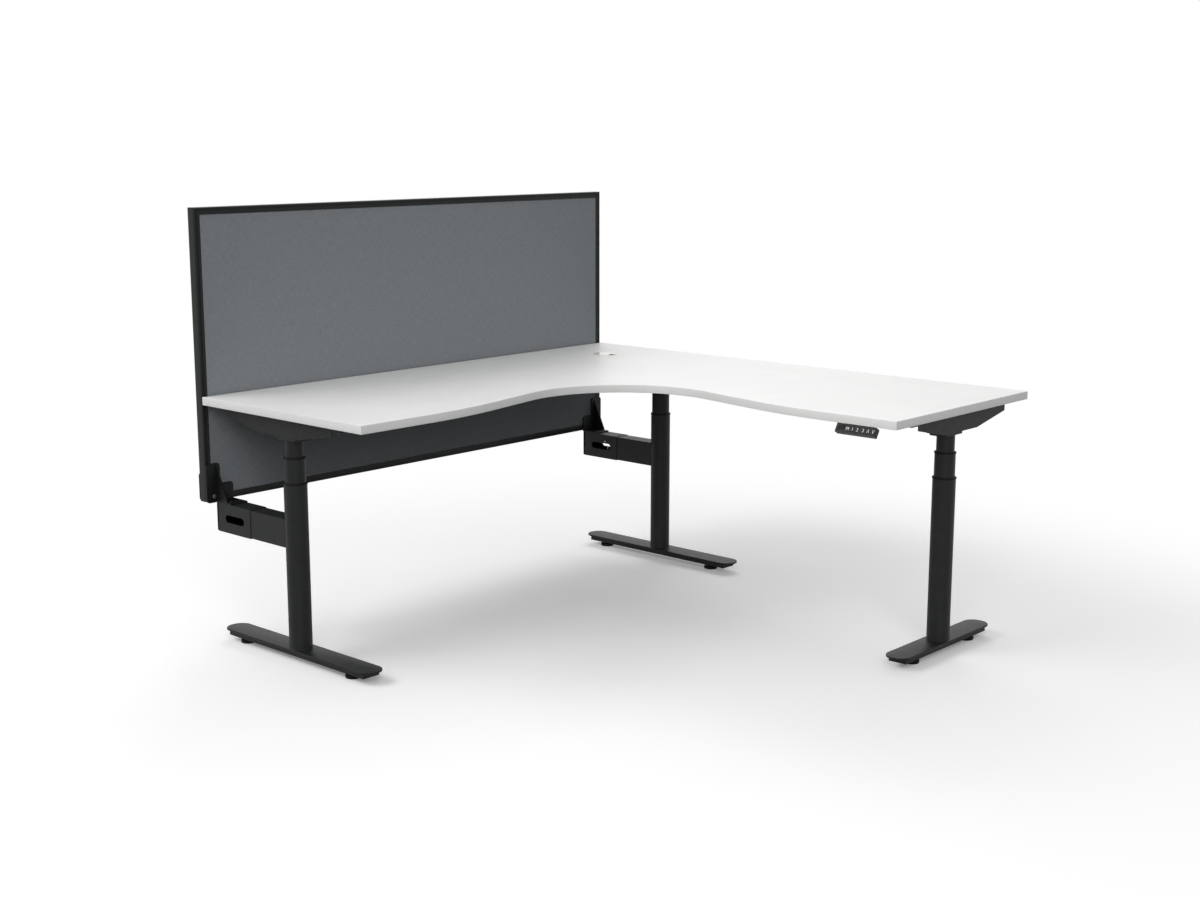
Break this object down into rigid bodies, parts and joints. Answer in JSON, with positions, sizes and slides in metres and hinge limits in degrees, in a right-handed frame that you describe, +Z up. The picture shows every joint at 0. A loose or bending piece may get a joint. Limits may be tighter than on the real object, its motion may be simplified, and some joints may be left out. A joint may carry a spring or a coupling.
{
  "type": "height-adjustable corner workstation",
  "caption": "L-shaped sit-stand desk on round telescopic columns, with a fabric privacy screen on arms behind one wing, a button handset and a cable port.",
  "frame": {"origin": "centre of the footprint box at floor level, under the levelling feet", "axes": "+X along the left wing towards the corner, +Y from the right wing's end towards the screen, +Z up"},
  "size_m": [1.8, 1.844, 1.341],
  "materials": {
    "black_steel": "black powder coat, fine texture",
    "black_plastic": "moulded, fine spark texture",
    "handset_plastic": "moulded satin ABS",
    "zinc_steel": "bright zinc plate",
    "cast_housing": "die-cast, painted",
    "black_aluminium": "black anodised extrusion",
    "grey_fabric": "plain-woven polyester screen cloth",
    "felt_core": "pressed polyester felt board",
    "white_board": "white melamine on particleboard, fine pearl texture",
    "white_edging": "2 mm ABS edging, satin",
    "white_plastic": "moulded satin ABS"
  },
  "bodies": {
    "base": {"foot_plates": "black_steel", "foot_channels": "black_steel", "outer_tube_left": "black_steel", "outer_tube_corner": "black_steel", "outer_tube_right": "black_steel", "outer_collars": "black_plastic", "foot_bolts": "zinc_steel", "inner_arms": "black_steel", "arm_sleeve_left": "black_steel", "arm_sleeve_corner": "black_steel", "arm_end_caps": "black_plastic", "screen_bracket_left": "black_steel", "screen_bracket_corner": "black_steel", "clamp_plates": "black_steel", "screen_bolts": "zinc_steel", "sleeve_screws": "black_steel", "long_rails": "black_aluminium", "side_rails": "black_aluminium", "corner_keys": "zinc_steel", "screen_core": "felt_core", "fabric_front": "grey_fabric", "fabric_back": "grey_fabric"},
    "top": {"desktop": "white_board", "edge_band": "white_edging", "grommet_liner": "white_plastic", "inner_tube_left": "black_steel", "inner_tube_corner": "black_steel", "inner_tube_right": "black_steel", "beam_left": "black_steel", "beam_corner": "black_steel", "beam_right": "black_steel", "side_plates": "black_steel", "gear_housings": "cast_housing", "motors": "zinc_steel", "crossrails": "black_steel", "control_box": "black_plastic", "handset_body": "handset_plastic", "worktop_screws": "zinc_steel"},
    "port_cap": {"grommet_cap": "white_plastic"},
    "middle_left": {"middle_tube_left": "black_steel", "middle_guides_left": "black_plastic"},
    "middle_corner": {"middle_tube_corner": "black_steel", "middle_guides_corner": "black_plastic"},
    "middle_right": {"middle_tube_right": "black_steel", "middle_guides_right": "black_plastic"},
    "spindle_left": {"spindle_left": "zinc_steel"},
    "spindle_corner": {"spindle_corner": "zinc_steel"},
    "spindle_right": {"spindle_right": "zinc_steel"},
    "foot_left_front": {"levelling_foot_left_front": "black_plastic"},
    "foot_left_back": {"levelling_foot_left_back": "black_plastic"},
    "foot_corner_front": {"levelling_foot_corner_front": "black_plastic"},
    "foot_corner_back": {"levelling_foot_corner_back": "black_plastic"},
    "foot_right_front": {"levelling_foot_right_front": "black_plastic"},
    "foot_right_back": {"levelling_foot_right_back": "black_plastic"},
    "key_memory": {"button_memory": "handset_plastic"},
    "key_one": {"button_one": "handset_plastic"},
    "key_two": {"button_two": "handset_plastic"},
    "key_three": {"button_three": "handset_plastic"},
    "key_up": {"button_up": "handset_plastic"},
    "key_down": {"button_down": "handset_plastic"}
  },
  "joints": [
    {"name": "lift", "type": "slide", "parent": "base", "child": "top", "axis": [0, 0, 1], "range_m": [-0.1, 0.55]},
    {"name": "middle_left_slide", "type": "slide", "parent": "base", "child": "middle_left", "axis": [0, 0, 1], "range_m": [-0.05, 0.275]},
    {"name": "middle_corner_slide", "type": "slide", "parent": "base", "child": "middle_corner", "axis": [0, 0, 1], "range_m": [-0.05, 0.275]},
    {"name": "middle_right_slide", "type": "slide", "parent": "base", "child": "middle_right", "axis": [0, 0, 1], "range_m": [-0.05, 0.275]},
    {"name": "spindle_left_turn", "type": "hinge", "parent": "top", "child": "spindle_left", "pos_m": [-0.834, 0.518, 0.6], "axis": [0, 0, 1], "range_deg": [-1501, 8251]},
    {"name": "spindle_corner_turn", "type": "hinge", "parent": "top", "child": "spindle_corner", "pos_m": [0.834, 0.518, 0.6], "axis": [0, 0, 1], "range_deg": [-1501, 8251]},
    {"name": "spindle_right_turn", "type": "hinge", "parent": "top", "child": "spindle_right", "pos_m": [0.53, -0.856, 0.6], "axis": [0, 0, 1], "range_deg": [-1501, 8251]},
    {"name": "foot_left_front_adjust", "type": "slide", "parent": "base", "child": "foot_left_front", "axis": [0, 0, -1], "range_m": [0, 0.01]},
    {"name": "foot_left_back_adjust", "type": "slide", "parent": "base", "child": "foot_left_back", "axis": [0, 0, -1], "range_m": [0, 0.01]},
    {"name": "foot_corner_front_adjust", "type": "slide", "parent": "base", "child": "foot_corner_front", "axis": [0, 0, -1], "range_m": [0, 0.01]},
    {"name": "foot_corner_back_adjust", "type": "slide", "parent": "base", "child": "foot_corner_back", "axis": [0, 0, -1], "range_m": [0, 0.01]},
    {"name": "foot_right_front_adjust", "type": "slide", "parent": "base", "child": "foot_right_front", "axis": [0, 0, -1], "range_m": [0, 0.01]},
    {"name": "foot_right_back_adjust", "type": "slide", "parent": "base", "child": "foot_right_back", "axis": [0, 0, -1], "range_m": [0, 0.01]},
    {"name": "port_cap_lift_off", "type": "slide", "parent": "top", "child": "port_cap", "axis": [0, 0, 1], "range_m": [0, 0.03]},
    {"name": "key_memory_press", "type": "slide", "parent": "top", "child": "key_memory", "axis": [0.8572, 0, -0.515], "range_m": [0, 0.0008], "stiffness_N_per_m": 1500},
    {"name": "key_one_press", "type": "slide", "parent": "top", "child": "key_one", "axis": [0.8572, 0, -0.515], "range_m": [0, 0.0008], "stiffness_N_per_m": 1500},
    {"name": "key_two_press", "type": "slide", "parent": "top", "child": "key_two", "axis": [0.8572, 0, -0.515], "range_m": [0, 0.0008], "stiffness_N_per_m": 1500},
    {"name": "key_three_press", "type": "slide", "parent": "top", "child": "key_three", "axis": [0.8572, 0, -0.515], "range_m": [0, 0.0008], "stiffness_N_per_m": 1500},
    {"name": "key_up_press", "type": "slide", "parent": "top", "child": "key_up", "axis": [0.8572, 0, -0.515], "range_m": [0, 0.0008], "stiffness_N_per_m": 1500},
    {"name": "key_down_press", "type": "slide", "parent": "top", "child": "key_down", "axis": [0.8572, 0, -0.515], "range_m": [0, 0.0008], "stiffness_N_per_m": 1500}
  ],
  "couplings": [
    {"joint": "middle_left_slide", "follows": "lift", "ratio": 0.5},
    {"joint": "middle_corner_slide", "follows": "lift", "ratio": 0.5},
    {"joint": "middle_right_slide", "follows": "lift", "ratio": 0.5},
    {"joint": "spindle_left_turn", "follows": "lift", "rad_per_m": 261.8},
    {"joint": "spindle_corner_turn", "follows": "lift", "rad_per_m": 261.8},
    {"joint": "spindle_right_turn", "follows": "lift", "rad_per_m": 261.8}
  ]
}
